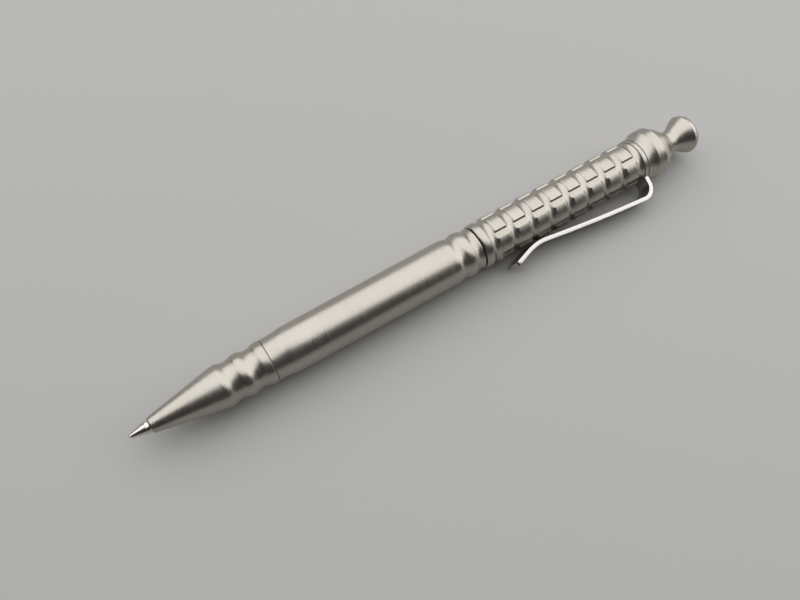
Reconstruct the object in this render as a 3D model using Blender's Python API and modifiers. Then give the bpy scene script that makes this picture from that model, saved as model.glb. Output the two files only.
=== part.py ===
# A titanium ballpoint pen with a push button, lying on its collar and on the corner of its clip.
# Metres, +Z up. The pen's axis runs along X, from the writing tip at -X to the button at +X.
# The refill is out, ready to write. Each piece sits on the pen's axis, under one root empty.

import math

import bmesh
import bpy
from mathutils import Matrix

# Facets
SEGMENTS = 32
REFILL_SEGMENTS = 24
WAVE_STEPS = 3
GROOVE_STEPS = 4
ROUND_STEPS = 4
FLARE_STEPS = 6
BEND_STEPS = 7

# Lengths of the body along the axis
TIP_REACH = 0.0041
NOSE_LENGTH = 0.0249
COLLAR_LENGTH = 0.0090
NECK_GAP = 0.0003

# Seams between the body's pieces
NOSE_SEAM = 0.00006
MIDDLE_SEAM = 0.00025
CLIP_SEAM = 0.0001

# Walls of the body, which set its radii from the refill outwards
SPIGOT_WALL = 0.00065
SOCKET_WALL = 0.0010
NOSE_WALL = 0.00134
NOSE_LIP = 0.00018
UPPER_WALL = 0.00075
COLLAR_WALL = 0.00045
COLLAR_FLARE = 0.00083

# Grip pattern of the upper barrel
RING_LENGTH = 0.00155
LAND_COUNT = 8
LAND_WIDTH = 0.00286
GROOVE_WIDTH = 0.0020
GROOVE_DEPTH = 0.0005
FLUTE_COUNT = 6
FLUTE_WIDTH = 0.00175
FLUTE_TURN = math.radians(-2)

# Bores, threads and seals
REFILL_RADIUS = 0.0030
REFILL_GAP = 0.0002
THREAD_LENGTH = 0.0070
THREAD_GAP = 0.0001
THREAD_END_GAP = 0.0004
MECHANISM_GAP = 0.0001
SEAL_WIRE_RADIUS = 0.00022
SEAL_GAP = 0.00005
SEAL_SETBACK = 0.0004

# Return spring
SPRING_SEAT = 0.0115
SPRING_ROOM = 0.0080
SPRING_CLEARANCE = 0.00048
SPRING_WIRE_RADIUS = 0.0002
SPRING_GAP = 0.00035
SPRING_TURNS = 7
SPRING_TURN_POINTS = 9
SEAT_GAP = 0.0001

# Refill
REFILL_LENGTH = 0.0980
REFILL_WALL = 0.0004
SHOULDER_LENGTH = 0.0008
SHOULDER_WALL = 0.0030
TUBE_RADIUS = 0.00122
TUBE_WALL = 0.0002
TUBE_GRIP = 0.0024
TIP_CONE_LENGTH = 0.0033
TIP_FACE = 0.00036
TIP_LIP = 0.00009
TIP_SHANK_LENGTH = 0.0030
TIP_CLEARANCE = 0.0001
BALL_RADIUS = 0.0003
BALL_SOCKET_DEPTH = 0.0008
BALL_GAP = 0.00003
CROWN_LENGTH = 0.0040
CROWN_PLUG = 0.0025
CROWN_SLOT_DEPTH = 0.0014
CROWN_SLOT_WIDTH = 0.0008
CROWN_VENT_RADIUS = 0.0010
CROWN_SLOTS = 3
INK_REAR_SPACE = 0.0138
FOLLOWER_LENGTH = 0.0030
INK_GAP = 0.0001

# Click mechanism
STROKE = 0.0050
OVERTRAVEL = 0.0012
ROTOR_LENGTH = 0.0072
ROTOR_FOOT_RADIUS = 0.0016
ROTOR_FOOT_LENGTH = 0.0020
LUG_COUNT = 4
LUG_LENGTH = 0.0024
LUG_WIDTH = 0.0013
LUG_GAP = 0.00015
LUG_SETBACK = 0.0007
LUG_RISE = 0.0004
SLOT_WIDTH = 0.0019
RIB_HEIGHT = 0.0006
RIB_GAP = 0.00015
SLEEVE_WALL = 0.00045
SLEEVE_START = 0.0004
TOOTH_COUNT = 8
TOOTH_DEPTH = 0.0009
TOOTH_GAP = 0.0003
THRUST_LENGTH = 0.0056
STEM_RADIUS = 0.0016
STEM_GAP = 0.0001
STEM_SETBACK = 0.00216
STEM_SOCKET_DEPTH = 0.0090
STROKE_GAP = 0.00016
STOP_GAP = 0.0002
BUSHING_WALL = 0.0004
BUSHING_GAP = 0.0001
BUSHING_SETBACK = 0.0029
COLLAR_SPIGOT_LENGTH = 0.0049

# Button head
FLARE_LENGTH = 0.00404
FLARE_REACH = 0.00178
FLARE_LATE_SHARE = 0.35
RIM_ROUND_LENGTH = 0.0017
RIM_ROUND_DEPTH = 0.0017

# Clip
CLIP_THICKNESS = 0.00095
CLIP_WIDTH = 0.0046
CLIP_STANDOFF = 0.00363
CLIP_BEND_RADIUS = 0.0026
CLIP_BALL_SETBACK = 0.0300
CLIP_BALL_RADIUS = 0.0110
CLIP_BALL_GAP = 0.00012
CLIP_FLARE_ANGLE = math.radians(19)
CLIP_FLARE_LENGTH = 0.0044
CLIP_END_ROUND = 0.0012
CLIP_BOW = 0.0002
CLIP_ARM_STEPS = 6

OVERRUN = 0.0010
MERGE = 0.000001

# Radii, from the refill outwards
refill_bore = REFILL_RADIUS + REFILL_GAP
thread_radius = refill_bore + SPIGOT_WALL
thread_bore = thread_radius + THREAD_GAP
mechanism_radius = refill_bore + SLEEVE_WALL
mechanism_bore = mechanism_radius + MECHANISM_GAP
nose_radius = refill_bore + NOSE_WALL
lower_radius = thread_bore + SOCKET_WALL
groove_floor = mechanism_bore + UPPER_WALL
land_radius = groove_floor + GROOVE_DEPTH
collar_radius = land_radius + COLLAR_FLARE
clip_crest = land_radius + CLIP_STANDOFF
seal_radius = thread_bore - SEAL_GAP - SEAL_WIRE_RADIUS
seal_floor = seal_radius - SEAL_WIRE_RADIUS - SEAL_GAP

# Radii, from the collar's spigot inwards
bushing_seat = mechanism_radius - COLLAR_WALL
bushing_radius = bushing_seat - BUSHING_GAP
bushing_bore = bushing_radius - BUSHING_WALL
neck_radius = bushing_bore - BUSHING_GAP
button_radius = neck_radius + FLARE_REACH
rib_radius = refill_bore - RIB_HEIGHT
rotor_radius = rib_radius - RIB_GAP
lug_radius = refill_bore - LUG_GAP
spring_radius = TUBE_RADIUS + SPRING_CLEARANCE + SPRING_WIRE_RADIUS
spring_bore = spring_radius + SPRING_WIRE_RADIUS + SPRING_GAP

# Places inside, from the front of the ball
refill_shoulder = SPRING_SEAT + SPRING_ROOM
rotor_front = REFILL_LENGTH + TOOTH_GAP
rotor_rear = rotor_front + ROTOR_LENGTH
thrust_front = rotor_rear + TOOTH_GAP
thrust_rear = thrust_front + THRUST_LENGTH
spigot_front = thrust_rear + STROKE + STROKE_GAP
sleeve_front = REFILL_LENGTH + SLEEVE_START
sleeve_rear = spigot_front - STOP_GAP
rib_front = rotor_rear - LUG_SETBACK + LUG_RISE + TOOTH_GAP

# Places along the body: the collar stands behind the mechanism, and the upper barrel reaches forward from it
collar_front = spigot_front + COLLAR_SPIGOT_LENGTH
collar_rear = collar_front + COLLAR_LENGTH
ring_rear = collar_front - CLIP_SEAM
ring_front = ring_rear - CLIP_THICKNESS
upper_rear = ring_front - CLIP_SEAM
grip_pitch = LAND_WIDTH + GROOVE_WIDTH
grip_front = upper_rear - LAND_COUNT * grip_pitch - GROOVE_WIDTH
upper_front = grip_front - RING_LENGTH
lower_rear = upper_front - MIDDLE_SEAM
nose_front = TIP_REACH
nose_rear = nose_front + NOSE_LENGTH
lower_front = nose_rear + NOSE_SEAM
lower_length = lower_rear - lower_front
bushing_rear = collar_rear - BUSHING_SETBACK
head_front = collar_rear + OVERTRAVEL + NECK_GAP
flare_rear = head_front + FLARE_LENGTH
button_end = flare_rear + RIM_ROUND_LENGTH

# The pen lies on the collar and on the clip's lower corner, which gives its roll
clip_reach = clip_crest + CLIP_THICKNESS / 2
clip_half = CLIP_WIDTH / 2
clip_corner = math.hypot(clip_reach, clip_half)
roll = math.asin(collar_radius / clip_corner) - math.atan2(clip_half, clip_reach)
side_reach = clip_reach * math.cos(roll) + clip_half * math.sin(roll)


def clear_scene():
    for item in list(bpy.data.objects):
        bpy.data.objects.remove(item, do_unlink=True)


def make_collection(name):
    collection = bpy.data.collections.new(name)
    bpy.context.scene.collection.children.link(collection)
    return collection


def make_material(name, colour, roughness, metallic):
    material = bpy.data.materials.new(name)
    material.use_nodes = True
    shader = material.node_tree.nodes["Principled BSDF"]
    shader.inputs["Base Color"].default_value = (*colour, 1)
    shader.inputs["Roughness"].default_value = roughness
    shader.inputs["Metallic"].default_value = metallic
    material.diffuse_color = (*colour, 1)
    return material


def place(item, material, along=0):
    """Put a piece on the pen's axis, its own Z turned to run along the pen."""
    item.data.materials.append(material)
    item.parent = root
    item.location = (along, 0, 0)
    item.rotation_euler = (0, math.pi / 2, 0)
    parts.objects.link(item)
    return item


def smooth(item):
    item.data.shade_smooth()
    item.data.set_sharp_from_angle(angle=math.radians(35))


def evaluated_mesh(item):
    depsgraph = bpy.context.evaluated_depsgraph_get()
    return bpy.data.meshes.new_from_object(item.evaluated_get(depsgraph))


def turned_mesh(name, path, steps=SEGMENTS):
    """Turn a path of (along, radius) points, which runs rear to front down the outside."""
    closed = path[0][1] > 0
    count = len(path)
    edges = [(i, i + 1) for i in range(count - 1)]
    if closed:
        edges.append((count - 1, 0))
    outline = bpy.data.meshes.new(name + "_outline")
    outline.from_pydata([(radius, 0, along) for along, radius in path], edges, [])
    turner = bpy.data.objects.new(name + "_turner", outline)
    cutters.objects.link(turner)
    screw = turner.modifiers.new("turn", "SCREW")
    screw.axis = "Z"
    screw.angle = math.tau
    screw.steps = steps
    screw.render_steps = steps
    screw.use_merge_vertices = True
    screw.merge_threshold = MERGE
    bpy.context.view_layer.update()
    mesh = evaluated_mesh(turner)
    mesh.name = name
    bpy.data.objects.remove(turner, do_unlink=True)
    return mesh


def turned(name, path, material, along=0, steps=SEGMENTS):
    item = bpy.data.objects.new(name, turned_mesh(name, path, steps))
    smooth(item)
    return place(item, material, along)


def solid(outer):
    """Path of a solid piece from its outside, given front to rear."""
    return [(outer[-1][0], 0), *reversed(outer), (outer[0][0], 0)]


def tube(outer, bore):
    """Path of a hollow piece from its outside and its bore, both given front to rear."""
    return [*reversed(outer), *bore]


def cylinder(front, rear, radius, chamfer=0):
    if chamfer:
        return [(front, radius - chamfer), (front + chamfer, radius), (rear - chamfer, radius),
                (rear, radius - chamfer)]
    return [(front, radius), (rear, radius)]


def waves(keys):
    """Join the keys by half cosine waves, so that each key is a crest or a valley."""
    points = [keys[0]]
    for (x0, r0), (x1, r1) in zip(keys, keys[1:]):
        for step in range(1, WAVE_STEPS + 1):
            share = step / WAVE_STEPS
            rise = (1 - math.cos(math.pi * share)) / 2
            points.append((x0 + (x1 - x0) * share, r0 + (r1 - r0) * rise))
    return points


def scaled(shares, start, length, radius):
    return [(start + along * length, across * radius) for along, across in shares]


def groove(start):
    """One annular groove with a round floor, from land edge to land edge."""
    half = GROOVE_WIDTH / 2
    arc_radius = (half * half + GROOVE_DEPTH * GROOVE_DEPTH) / (2 * GROOVE_DEPTH)
    spread = math.asin(half / arc_radius)
    points = []
    for step in range(GROOVE_STEPS + 1):
        angle = spread * (2 * step / GROOVE_STEPS - 1)
        along = start + half + arc_radius * math.sin(angle)
        points.append((along, groove_floor + arc_radius * (1 - math.cos(angle))))
    return points


def add_cut(item, cutter, operation="DIFFERENCE"):
    cut = item.modifiers.new(cutter.name, "BOOLEAN")
    cut.operation = operation
    cut.solver = "EXACT"
    cut.object = cutter


def box_ring(name, count, low, high, along, length, width, turn=0):
    """Boxes set round the axis, each from the low to the high radius, joined as one cutter."""
    shape = bmesh.new()
    for index in range(count):
        box = bmesh.ops.create_cube(shape, size=1)["verts"]
        bmesh.ops.scale(shape, vec=(high - low, width, length), verts=box)
        bmesh.ops.translate(shape, vec=((high + low) / 2, 0, along + length / 2), verts=box)
        angle = turn + index * math.tau / count
        spin = Matrix.Rotation(angle, 3, "Z")
        bmesh.ops.rotate(shape, cent=(0, 0, 0), matrix=spin, verts=box)
    mesh = bpy.data.meshes.new(name)
    shape.to_mesh(mesh)
    shape.free()
    cutter = bpy.data.objects.new(name, mesh)
    cutter.parent = root
    cutter.rotation_euler = (0, math.pi / 2, 0)
    cutter.hide_render = True
    cutter.display_type = "WIRE"
    cutters.objects.link(cutter)
    return cutter


def crown(item, along, direction):
    """Raise the ring of the face at this place into saw teeth, which all run the same way round."""
    steps_per_tooth = SEGMENTS // TOOTH_COUNT
    for vertex in item.data.vertices:
        if abs(vertex.co.z - along) > MERGE:
            continue
        turn = math.atan2(vertex.co.y, vertex.co.x) % math.tau
        step = round(turn / math.tau * SEGMENTS) % steps_per_tooth
        vertex.co.z += direction * TOOTH_DEPTH * step / (steps_per_tooth - 1)


# Body of the pen

def seal_groove(start):
    """Groove in a thread's root that holds a seal ring, as four outline points."""
    width = 2 * (SEAL_WIRE_RADIUS + SEAL_GAP)
    return [(start, thread_radius), (start, seal_floor), (start + width, seal_floor),
            (start + width, thread_radius)]


def seal_ring(name, start):
    center = start + SEAL_WIRE_RADIUS + SEAL_GAP
    points = []
    for step in range(2 * ROUND_STEPS):
        angle = math.pi * step / ROUND_STEPS
        along = center + SEAL_WIRE_RADIUS * math.cos(angle)
        points.append((along, seal_radius + SEAL_WIRE_RADIUS * math.sin(angle)))
    return turned(name, points, rubber)


def build_nose():
    cone_shares = [(0.012, 0.366), (0.526, 0.903), (0.562, 0.958)]
    wave_shares = [(0.594, 0.991), (0.687, 0.881), (0.785, 0.996), (0.876, 0.890), (0.972, 1)]
    rim_shares = [(1, 0.982)]
    size = (nose_front, NOSE_LENGTH, nose_radius)
    tube_hole = TUBE_RADIUS + TIP_CLEARANCE
    outer = [(nose_front, tube_hole + NOSE_LIP)] + scaled(cone_shares, *size)
    outer += waves(scaled(wave_shares, *size)) + scaled(rim_shares, *size)
    seal_start = nose_rear + SEAL_SETBACK
    outer += [(nose_rear, thread_radius)] + seal_groove(seal_start)
    thread_rear = nose_rear + THREAD_LENGTH
    outer.append((thread_rear, thread_radius))
    step_place = refill_shoulder - OVERTRAVEL - OVERRUN
    bore = [(nose_front, tube_hole), (SPRING_SEAT, tube_hole), (SPRING_SEAT, spring_bore),
            (step_place - OVERRUN, spring_bore), (step_place, refill_bore), (thread_rear, refill_bore)]
    turned("nose_cone", tube(outer, bore), titanium)
    seal_ring("nose_o_ring", seal_start)


def build_lower_barrel():
    front_shares = [(0, 0.899), (0.021, 0.893), (0.086, 0.960)]
    tube_shares = [(0.164, 0.971), (0.821, 1)]
    rear_shares = [(0.856, 0.996), (0.897, 0.925), (0.934, 1.004), (0.984, 0.893), (1, 0.937)]
    size = (lower_front, lower_length, lower_radius)
    outer = waves(scaled(front_shares, *size)) + scaled(tube_shares, *size)
    outer += waves(scaled(rear_shares, *size))
    front_socket = nose_rear + THREAD_LENGTH + THREAD_END_GAP
    rear_socket = upper_front - THREAD_LENGTH - THREAD_END_GAP
    bore = [(lower_front, thread_bore), (front_socket, thread_bore), (front_socket, refill_bore),
            (rear_socket, refill_bore), (rear_socket, thread_bore), (lower_rear, thread_bore)]
    turned("lower_barrel", tube(outer, bore), titanium)


def build_upper_barrel():
    lip_shares = [(0, 0.926), (0.23, 0.973), (0.5, 0.99), (1, 0.99)]
    thread_front = upper_front - THREAD_LENGTH
    seal_end = upper_front - SEAL_SETBACK
    seal_start = seal_end - 2 * (SEAL_WIRE_RADIUS + SEAL_GAP)
    outer = [(thread_front, thread_radius)] + seal_groove(seal_start) + [(upper_front, thread_radius)]
    outer += scaled(lip_shares, upper_front, RING_LENGTH, land_radius)
    for index in range(LAND_COUNT + 1):
        points = groove(grip_front + index * grip_pitch)
        outer += points if index else points[1:]
    bore_step = REFILL_LENGTH
    bore = [(thread_front, refill_bore), (bore_step, refill_bore), (bore_step, mechanism_bore),
            (upper_rear, mechanism_bore)]
    barrel = turned("upper_barrel", tube(outer, bore), titanium)
    flute_front = grip_front + GROOVE_WIDTH / 2
    flute_length = LAND_COUNT * grip_pitch
    # The piece's own X is the pen's -Z, so half a turn puts the first flute on top
    flutes = box_ring("flute_cutters", FLUTE_COUNT, groove_floor, land_radius + OVERRUN, flute_front,
                      flute_length, FLUTE_WIDTH, math.pi + FLUTE_TURN)
    add_cut(barrel, flutes)
    seal_ring("barrel_o_ring", seal_start)


def build_collar():
    flare_shares = [(0.03, 0.868), (0.235, 0.984)]
    rim_shares = [(0.457, 1), (0.520, 0.985), (0.545, 0.955), (0.812, 0.695), (0.923, 0.549)]
    spigot_shares = [(0, 0.868)]
    size = (collar_front, COLLAR_LENGTH, collar_radius)
    lip = bushing_bore + BUSHING_GAP
    outer = [(spigot_front, mechanism_radius), (collar_front, mechanism_radius)]
    outer += scaled(spigot_shares, *size) + waves(scaled(flare_shares, *size)) + scaled(rim_shares, *size)
    outer.append((collar_rear, lip + BUSHING_WALL / 2))
    seat_end = bushing_rear + STOP_GAP
    bore = [(spigot_front, bushing_seat), (seat_end, bushing_seat), (seat_end, lip), (collar_rear, lip)]
    turned("collar", tube(outer, bore), titanium)
    turned("button_bushing", tube(cylinder(spigot_front, bushing_rear, bushing_radius),
                                  cylinder(spigot_front, bushing_rear, bushing_bore)), polymer)


# Clip

def clip_path():
    """Middle line of the strip as (along, out) points: up from the ring, over, down the arm, flare."""
    ring_middle = (ring_front + ring_rear) / 2
    bend = (ring_middle - CLIP_BEND_RADIUS, clip_crest - CLIP_BEND_RADIUS)
    ball_low = land_radius + CLIP_BALL_GAP + CLIP_THICKNESS / 2
    ball = (ring_middle - CLIP_BALL_SETBACK, ball_low + CLIP_BALL_RADIUS)
    run = bend[0] - ball[0]
    rise = ball[1] - bend[1]
    slope = math.asin((CLIP_BEND_RADIUS + CLIP_BALL_RADIUS) / math.hypot(run, rise)) - math.atan2(rise, run)
    points = [(ring_middle, (mechanism_bore + land_radius) / 2)]
    for step in range(BEND_STEPS + 1):
        angle = (math.pi / 2 + slope) * step / BEND_STEPS
        points.append((bend[0] + CLIP_BEND_RADIUS * math.cos(angle),
                       bend[1] + CLIP_BEND_RADIUS * math.sin(angle)))
    arm_start = points[-1]
    arm_end = (ball[0] + CLIP_BALL_RADIUS * math.sin(slope), ball[1] - CLIP_BALL_RADIUS * math.cos(slope))
    for step in range(1, CLIP_ARM_STEPS):
        share = step / CLIP_ARM_STEPS
        bow = CLIP_BOW * math.sin(math.pi * share)
        points.append((arm_start[0] + (arm_end[0] - arm_start[0]) * share,
                       arm_start[1] + (arm_end[1] - arm_start[1]) * share + bow))
    for step in range(BEND_STEPS + 1):
        angle = slope - (slope + CLIP_FLARE_ANGLE) * step / BEND_STEPS
        points.append((ball[0] + CLIP_BALL_RADIUS * math.sin(angle),
                       ball[1] - CLIP_BALL_RADIUS * math.cos(angle)))
    return points


def build_clip():
    path = clip_path()
    rows = [(along, out, clip_half) for along, out in path]
    start = path[-1]
    for step in range(ROUND_STEPS + 1):
        angle = math.pi / 2 * step / ROUND_STEPS
        run = CLIP_FLARE_LENGTH - CLIP_END_ROUND * (1 - math.sin(angle))
        half = clip_half - CLIP_END_ROUND * (1 - math.cos(angle))
        rows.append((start[0] - run * math.cos(CLIP_FLARE_ANGLE),
                     start[1] + run * math.sin(CLIP_FLARE_ANGLE), half))
    corners = []
    for along, out, half in rows:
        corners += [(along, -out, -half), (along, -out, half)]
    faces = [(2 * i, 2 * i + 1, 2 * i + 3, 2 * i + 2) for i in range(len(rows) - 1)]
    strip = bpy.data.meshes.new("clip_strip")
    strip.from_pydata(corners, [], faces)
    arm = bpy.data.objects.new("clip", strip)
    arm.data.materials.append(bright_titanium)
    arm.parent = root
    parts.objects.link(arm)
    thick = arm.modifiers.new("thickness", "SOLIDIFY")
    thick.thickness = CLIP_THICKNESS
    thick.offset = 0
    thick.use_even_offset = True
    ring = turned("clip_ring", tube(cylinder(ring_front, ring_rear, land_radius),
                                    cylinder(ring_front, ring_rear, mechanism_bore)), bright_titanium)
    parts.objects.unlink(ring)
    cutters.objects.link(ring)
    ring.hide_render = True
    ring.display_type = "WIRE"
    add_cut(arm, ring, "UNION")


# Button and click mechanism

def build_button():
    stem_rear = head_front - STEM_SETBACK
    shank_front = stem_rear - STEM_SOCKET_DEPTH
    face_radius = button_radius - RIM_ROUND_DEPTH
    outer = [(shank_front, neck_radius)]
    for step in range(FLARE_STEPS):
        share = step / FLARE_STEPS
        wave = (1 - math.cos(math.pi * share)) / 2
        rise = FLARE_LATE_SHARE * share * share + (1 - FLARE_LATE_SHARE) * wave
        outer.append((head_front + FLARE_LENGTH * share, neck_radius + FLARE_REACH * rise))
    for step in range(ROUND_STEPS + 1):
        angle = math.pi / 2 * step / ROUND_STEPS
        outer.append((flare_rear + RIM_ROUND_LENGTH * math.sin(angle),
                      face_radius + RIM_ROUND_DEPTH * math.cos(angle)))
    socket_end = stem_rear + STOP_GAP
    socket = STEM_RADIUS + STEM_GAP
    path = [(button_end, 0), *reversed(outer), (shank_front, socket), (socket_end, socket), (socket_end, 0)]
    turned("click_button", path, titanium)
    turned("button_stem", solid(cylinder(thrust_front, stem_rear, STEM_RADIUS, SEAT_GAP)), steel,
           steps=REFILL_SEGMENTS)


def build_thrust_cam():
    bore = STEM_RADIUS + STEM_GAP
    path = tube(cylinder(thrust_front, thrust_rear, rotor_radius), cylinder(thrust_front, thrust_rear, bore))
    cam = turned("thrust_cam", path, polymer)
    crown(cam, thrust_front, 1)


def build_rotor():
    bore = STEM_RADIUS + STEM_GAP
    bore_floor = rotor_front + ROTOR_LENGTH / 2
    outer = [(rotor_front, ROTOR_FOOT_RADIUS), (rotor_front + ROTOR_FOOT_LENGTH, ROTOR_FOOT_RADIUS),
             (rotor_front + ROTOR_FOOT_LENGTH, rotor_radius), (rotor_rear, rotor_radius)]
    path = [*reversed(outer), (rotor_front, 0)]
    path = [(bore_floor, 0), (bore_floor, bore), (rotor_rear, bore), *path]
    rotor = turned("rotor_cam", path, brass)
    crown(rotor, rotor_rear, 1)
    lug_front = rotor_rear - LUG_SETBACK - LUG_LENGTH
    lugs = box_ring("rotor_lugs", LUG_COUNT, rotor_radius - SLEEVE_WALL, lug_radius, lug_front, LUG_LENGTH,
                    LUG_WIDTH, math.pi / LUG_COUNT)
    slope_lugs(lugs, lug_front + LUG_LENGTH / 2)
    add_cut(rotor, lugs, "UNION")


def slope_lugs(lugs, middle):
    """Slope each lug's rear face like the saw teeth behind it."""
    for vertex in lugs.data.vertices:
        if vertex.co.z < middle:
            continue
        turn = math.atan2(vertex.co.y, vertex.co.x) % (math.tau / LUG_COUNT)
        side = 1 if turn > math.pi / LUG_COUNT else 0
        vertex.co.z += LUG_RISE * side


def build_sleeve():
    inner = mechanism_radius - SLEEVE_WALL
    outer = cylinder(sleeve_front, sleeve_rear, mechanism_radius)
    bore = [(sleeve_front, inner), (rib_front, inner), (rib_front, rib_radius), (sleeve_rear, rib_radius)]
    sleeve = turned("cam_sleeve", tube(outer, bore), brass)
    slots = box_ring("slot_cutters", LUG_COUNT, rib_radius - SLEEVE_WALL, inner, rib_front - OVERRUN,
                     sleeve_rear - rib_front + 2 * OVERRUN, SLOT_WIDTH, math.pi / LUG_COUNT)
    add_cut(sleeve, slots)


# Refill and return spring

def build_refill():
    body_rear = REFILL_LENGTH - CROWN_LENGTH
    bore = REFILL_RADIUS - REFILL_WALL
    tube_hole = TUBE_RADIUS + SEAT_GAP
    wall_end = refill_shoulder + SHOULDER_WALL
    outer = [(refill_shoulder, REFILL_RADIUS - SHOULDER_LENGTH),
             (refill_shoulder + SHOULDER_LENGTH, REFILL_RADIUS), (body_rear, REFILL_RADIUS)]
    inside = [(refill_shoulder, tube_hole), (wall_end, tube_hole), (wall_end, bore), (body_rear, bore)]
    turned("refill_body", tube(outer, inside), steel, steps=REFILL_SEGMENTS)

    tube_rear = refill_shoulder + TUBE_GRIP
    tube_bore = TUBE_RADIUS - TUBE_WALL
    tube_front = TIP_CONE_LENGTH + SEAT_GAP
    turned("refill_nose_tube", tube(cylinder(tube_front, tube_rear, TUBE_RADIUS),
                                    cylinder(tube_front, tube_rear, tube_bore)),
           bright_steel, steps=REFILL_SEGMENTS)

    socket = BALL_RADIUS + BALL_GAP
    shank = tube_bore - SEAT_GAP
    outer = [(TIP_FACE, socket + TIP_LIP), (TIP_CONE_LENGTH, TUBE_RADIUS), (TIP_CONE_LENGTH, shank),
             (TIP_CONE_LENGTH + TIP_SHANK_LENGTH, shank)]
    path = [(outer[-1][0], 0), *reversed(outer), (TIP_FACE, socket), (BALL_SOCKET_DEPTH, socket),
            (BALL_SOCKET_DEPTH, 0)]
    turned("refill_tip", path, bright_steel, steps=REFILL_SEGMENTS)

    ink_bore = bore - INK_GAP
    follower_rear = body_rear - CROWN_PLUG - INK_REAR_SPACE
    follower_front = follower_rear - FOLLOWER_LENGTH
    ink_rear = follower_front - INK_GAP
    turned("refill_ink", solid(cylinder(wall_end + INK_GAP, ink_rear, ink_bore)), ink,
           steps=REFILL_SEGMENTS)
    turned("refill_follower", solid(cylinder(follower_front, follower_rear, ink_bore)), polymer,
           steps=REFILL_SEGMENTS)

    plug = bore - INK_GAP
    flange = body_rear + SEAT_GAP
    outer = [(body_rear - CROWN_PLUG, plug), (flange, plug), (flange, REFILL_RADIUS),
             (REFILL_LENGTH, REFILL_RADIUS)]
    vent = cylinder(body_rear - CROWN_PLUG, REFILL_LENGTH, CROWN_VENT_RADIUS)
    rear_plug = turned("refill_crown", tube(outer, vent), polymer, steps=REFILL_SEGMENTS)
    slots = box_ring("crown_slots", 2 * CROWN_SLOTS, ROTOR_FOOT_RADIUS + SEAT_GAP,
                     REFILL_RADIUS + OVERRUN, REFILL_LENGTH - CROWN_SLOT_DEPTH,
                     CROWN_SLOT_DEPTH + OVERRUN, CROWN_SLOT_WIDTH, math.pi / SEGMENTS)
    add_cut(rear_plug, slots)


def build_ball():
    shape = bmesh.new()
    bmesh.ops.create_uvsphere(shape, u_segments=12, v_segments=8, radius=BALL_RADIUS)
    mesh = bpy.data.meshes.new("refill_ball")
    shape.to_mesh(mesh)
    shape.free()
    item = bpy.data.objects.new("refill_ball", mesh)
    smooth(item)
    place(item, bright_steel, BALL_RADIUS)


def build_spring():
    """Return spring between the nose's inner seat and the refill's shoulder."""
    front = SPRING_SEAT + SEAT_GAP + SPRING_WIRE_RADIUS
    rear = refill_shoulder - SEAT_GAP - SPRING_WIRE_RADIUS
    curve = bpy.data.curves.new("return_spring", "CURVE")
    curve.dimensions = "3D"
    curve.bevel_depth = SPRING_WIRE_RADIUS
    curve.bevel_resolution = 1
    curve.use_fill_caps = True
    spline = curve.splines.new("POLY")
    count = SPRING_TURNS * SPRING_TURN_POINTS
    spline.points.add(count)
    for index in range(count + 1):
        share = index / count
        angle = math.tau * SPRING_TURNS * share
        along = front + (rear - front) * share
        spline.points[index].co = (spring_radius * math.cos(angle), spring_radius * math.sin(angle), along, 1)
    wire = bpy.data.objects.new("return_spring", curve)
    place(wire, spring_steel)
    turn_gap = (rear - front) / SPRING_TURNS - 2 * SPRING_WIRE_RADIUS
    print(f"return spring: least gap between turns {turn_gap:.5f} m")


clear_scene()
parts = make_collection("ballpoint_pen")
cutters = make_collection("cutters")
root = bpy.data.objects.new("pen_axis", None)
root.location = (-button_end / 2, (side_reach - collar_radius) / 2, collar_radius)
root.rotation_euler = (roll, 0, 0)
parts.objects.link(root)

titanium = make_material("satin_titanium", (0.36, 0.345, 0.33), 0.36, 1)
bright_titanium = make_material("bright_titanium", (0.58, 0.56, 0.54), 0.3, 1)
steel = make_material("plain_steel", (0.5, 0.5, 0.5), 0.35, 1)
bright_steel = make_material("bright_steel", (0.68, 0.67, 0.66), 0.2, 1)
spring_steel = make_material("spring_steel", (0.6, 0.6, 0.6), 0.25, 1)
brass = make_material("brass", (0.72, 0.53, 0.26), 0.3, 1)
polymer = make_material("acetal", (0.75, 0.75, 0.73), 0.45, 0)
rubber = make_material("seal_rubber", (0.02, 0.02, 0.02), 0.6, 0)
ink = make_material("ink", (0.01, 0.01, 0.015), 0.4, 0)

build_nose()
build_lower_barrel()
build_upper_barrel()
build_collar()
build_clip()
build_button()
build_thrust_cam()
build_rotor()
build_sleeve()
build_refill()
build_ball()
build_spring()
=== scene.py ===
import math

import bmesh
import bpy
import numpy as np
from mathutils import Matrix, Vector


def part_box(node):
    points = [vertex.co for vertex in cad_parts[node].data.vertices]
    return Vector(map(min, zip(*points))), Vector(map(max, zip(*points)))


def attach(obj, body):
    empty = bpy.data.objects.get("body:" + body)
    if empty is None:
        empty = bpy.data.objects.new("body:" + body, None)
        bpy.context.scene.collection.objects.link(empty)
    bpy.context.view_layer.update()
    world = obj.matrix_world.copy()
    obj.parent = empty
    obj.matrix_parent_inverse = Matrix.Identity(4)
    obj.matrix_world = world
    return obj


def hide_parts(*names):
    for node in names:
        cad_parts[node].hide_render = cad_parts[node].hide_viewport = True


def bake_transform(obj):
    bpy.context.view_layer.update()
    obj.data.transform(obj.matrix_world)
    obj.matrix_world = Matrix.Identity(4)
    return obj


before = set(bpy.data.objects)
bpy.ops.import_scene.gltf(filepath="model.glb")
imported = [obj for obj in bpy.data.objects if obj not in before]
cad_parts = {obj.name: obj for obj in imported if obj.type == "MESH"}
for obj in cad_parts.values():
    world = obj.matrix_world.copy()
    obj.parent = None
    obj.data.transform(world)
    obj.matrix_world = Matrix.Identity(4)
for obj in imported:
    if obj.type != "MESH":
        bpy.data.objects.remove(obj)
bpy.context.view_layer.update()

# Sizes are millimetres. Places along the pen count back from the front of the writing ball.
mm = 0.001

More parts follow.
